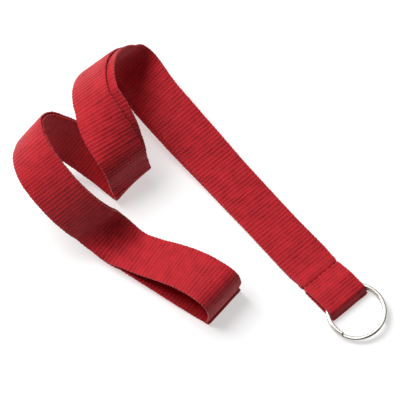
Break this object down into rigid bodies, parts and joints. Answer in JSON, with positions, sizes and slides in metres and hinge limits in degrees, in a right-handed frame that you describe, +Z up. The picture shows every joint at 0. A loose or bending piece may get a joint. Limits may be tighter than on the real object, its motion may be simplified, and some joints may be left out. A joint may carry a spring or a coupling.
{
  "type": "lanyard",
  "caption": "Neck lanyard of ribbed red webbing, doubled and lying in a loose coil, with a split ring held in a stitched fold at one end and an open fold at the far end.",
  "frame": {"origin": "on the table under the middle of the split ring", "axes": "+Z up, +Y the way the strap leaves the ring, +X to the right when looking along +Y"},
  "size_m": [0.0832, 0.1585, 0.0413],
  "materials": {
    "webbing": "ribbed weave",
    "thread": "matt",
    "nickel": "polished nickel"
  },
  "bodies": {
    "strap": {"inner_near_run": "webbing", "inner_top_arch": "webbing", "inner_drop": "webbing", "inner_corner": "webbing", "inner_back_run": "webbing", "inner_left_arch": "webbing", "inner_fall": "webbing", "inner_far_run": "webbing", "outer_near_run": "webbing", "outer_top_arch": "webbing", "outer_drop": "webbing", "outer_corner": "webbing", "outer_back_run": "webbing", "outer_left_arch": "webbing", "outer_fall": "webbing", "outer_far_run": "webbing", "far_bulb_rise": "webbing", "far_bulb_nose": "webbing"},
    "sewn_end": {"end_fold": "webbing", "end_under_flap": "webbing", "end_inner_layer": "webbing", "end_outer_layer": "webbing", "needle_thread": "thread", "bobbin_thread": "thread"},
    "split_ring": {"split_ring": "nickel"}
  },
  "joints": [
    {"name": "loop_swing", "type": "hinge", "parent": "strap", "child": "sewn_end", "pos_m": [0, 0.0266, 0.001], "axis": [-1, 0, 0], "range_deg": [0, 90]},
    {"name": "ring_turn", "type": "hinge", "parent": "sewn_end", "child": "split_ring", "pos_m": [0, 0, 0.0025], "axis": [0, 0, 1], "continuous": true}
  ]
}
